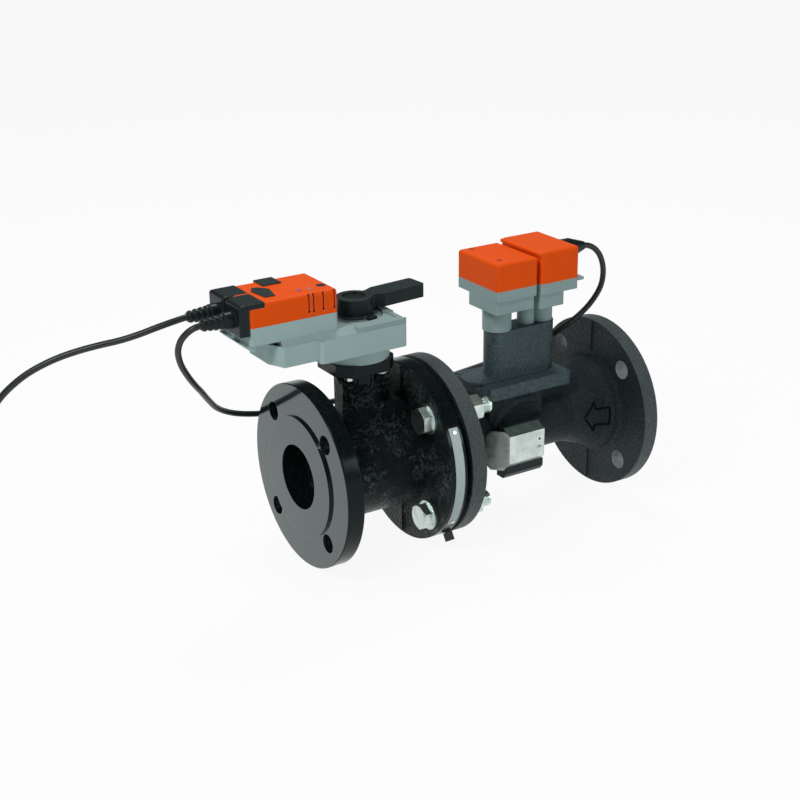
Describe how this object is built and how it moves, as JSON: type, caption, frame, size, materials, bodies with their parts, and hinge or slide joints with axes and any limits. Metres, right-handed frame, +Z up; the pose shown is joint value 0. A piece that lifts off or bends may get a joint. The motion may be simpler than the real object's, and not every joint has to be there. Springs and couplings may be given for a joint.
{
  "type": "pressure independent control valve",
  "caption": "Flanged ball valve turned by a geared rotary drive with a hand lever, bolted to a magnetic flow sensor with two transmitters and cabled to it.",
  "frame": {"origin": "centre of the outlet flange's raised face, on the pipe axis", "axes": "+X along the pipe from the outlet face to the inlet face, +Z up through the stem, +Y to the far side"},
  "size_m": [0.7699, 0.2926, 0.287],
  "materials": {
    "body_paint": "gloss black paint over rough casting",
    "sensor_paint": "satin black powder coat",
    "seat_white": "smooth white fluoropolymer",
    "brass": "turned brass",
    "copper": "wound copper wire",
    "rubber": "matt black rubber",
    "liner": "smooth black hard rubber",
    "tag_metal": "plain rolled strip",
    "zinc": "zinc plated",
    "steel": "machined steel",
    "stainless": "brushed stainless sheet",
    "tray_black": "black moulded plastic",
    "plastic_grey": "fine textured grey plastic",
    "plastic_orange": "fine textured orange plastic",
    "board_green": "green circuit board",
    "plastic_black": "fine textured black plastic",
    "key_grey": "grey key",
    "key_violet": "violet key",
    "cord_black": "black cable sheath",
    "wire_white": "white wire insulation with bare ferrules"
  },
  "bodies": {
    "valve": {"valve_body": "body_paint", "body_insert": "body_paint", "ball_seats": "seat_white", "stem_bushes": "brass", "stem_seals": "rubber", "data_plate": "tag_metal", "plate_rivets": "zinc", "mounting_screws": "zinc", "joint_gasket": "rubber", "joint_bolts": "zinc", "joint_nuts": "zinc", "joint_washers": "zinc", "sensor_body": "sensor_paint", "tube_liner": "liner", "electrodes": "steel", "magnet_coils": "copper", "electrode_covers": "stainless", "electrode_trays": "tray_black", "cover_screws": "zinc", "sensor_platform": "sensor_paint", "pedestal": "sensor_paint", "transmitter_base_a": "plastic_grey", "transmitter_base_b": "plastic_grey", "transmitter_cover_a": "plastic_orange", "transmitter_cover_b": "plastic_orange", "transmitter_board_a": "board_green", "transmitter_board_b": "board_green", "transmitter_screws": "zinc", "cable_gland": "plastic_black", "gear_case": "plastic_grey", "gear_lid": "plastic_grey", "gear_axles": "steel", "motor_can": "zinc", "drive_board": "board_green", "drive_shell": "plastic_grey", "drive_cover": "plastic_orange", "scale_ring": "plastic_black", "end_stops": "plastic_black", "service_hatch": "plastic_black", "near_plug": "plastic_black", "far_plug": "plastic_black", "sensor_cord": "cord_black", "supply_cord": "cord_black", "supply_coil": "cord_black", "coil_tie": "rubber", "supply_wires": "wire_white"},
    "stem_group": {"ball": "steel", "stem": "steel", "output_hub": "steel", "output_gear": "steel", "hand_lever": "plastic_black"},
    "idler_a": {"gear_a": "steel"},
    "idler_b": {"gear_b": "steel"},
    "rotor": {"motor_rotor": "steel", "motor_pinion": "brass"},
    "release": {"release_button": "plastic_black"},
    "key_left": {"key_one": "key_grey"},
    "key_right": {"key_two": "key_violet"},
    "switch": {"direction_switch": "plastic_black"}
  },
  "joints": [
    {"name": "stem_turn", "type": "hinge", "parent": "valve", "child": "stem_group", "pos_m": [0.0675, 0, 0.13], "axis": [0, 0, 1], "range_deg": [-90, 0]},
    {"name": "idler_a_turn", "type": "hinge", "parent": "valve", "child": "idler_a", "pos_m": [0.03, 0, 0.134], "axis": [0, 0, 1], "range_deg": [-3, 363]},
    {"name": "idler_b_turn", "type": "hinge", "parent": "valve", "child": "idler_b", "pos_m": [0.0025, 0, 0.141], "axis": [0, 0, 1], "range_deg": [-965, 5]},
    {"name": "rotor_turn", "type": "hinge", "parent": "valve", "child": "rotor", "pos_m": [-0.0225, 0, 0.16], "axis": [0, 0, 1], "range_deg": [-10, 2250]},
    {"name": "release_press", "type": "slide", "parent": "valve", "child": "release", "axis": [0, 0, -1], "range_m": [0, 0.0025], "stiffness_N_per_m": 900, "springref_m": -0.002},
    {"name": "key_left_press", "type": "slide", "parent": "valve", "child": "key_left", "axis": [0, 0, -1], "range_m": [0, 0.0004], "stiffness_N_per_m": 800, "springref_m": -0.001},
    {"name": "key_right_press", "type": "slide", "parent": "valve", "child": "key_right", "axis": [0, 0, -1], "range_m": [0, 0.0004], "stiffness_N_per_m": 800, "springref_m": -0.001},
    {"name": "switch_turn", "type": "hinge", "parent": "valve", "child": "switch", "pos_m": [0.0248, -0.013, 0.192], "axis": [0, 0, 1], "range_deg": [0, 90]}
  ],
  "couplings": [
    {"joint": "idler_a_turn", "follows": "stem_turn", "ratio": -4},
    {"joint": "idler_b_turn", "follows": "stem_turn", "ratio": 10.667},
    {"joint": "rotor_turn", "follows": "stem_turn", "ratio": -24.889}
  ]
}
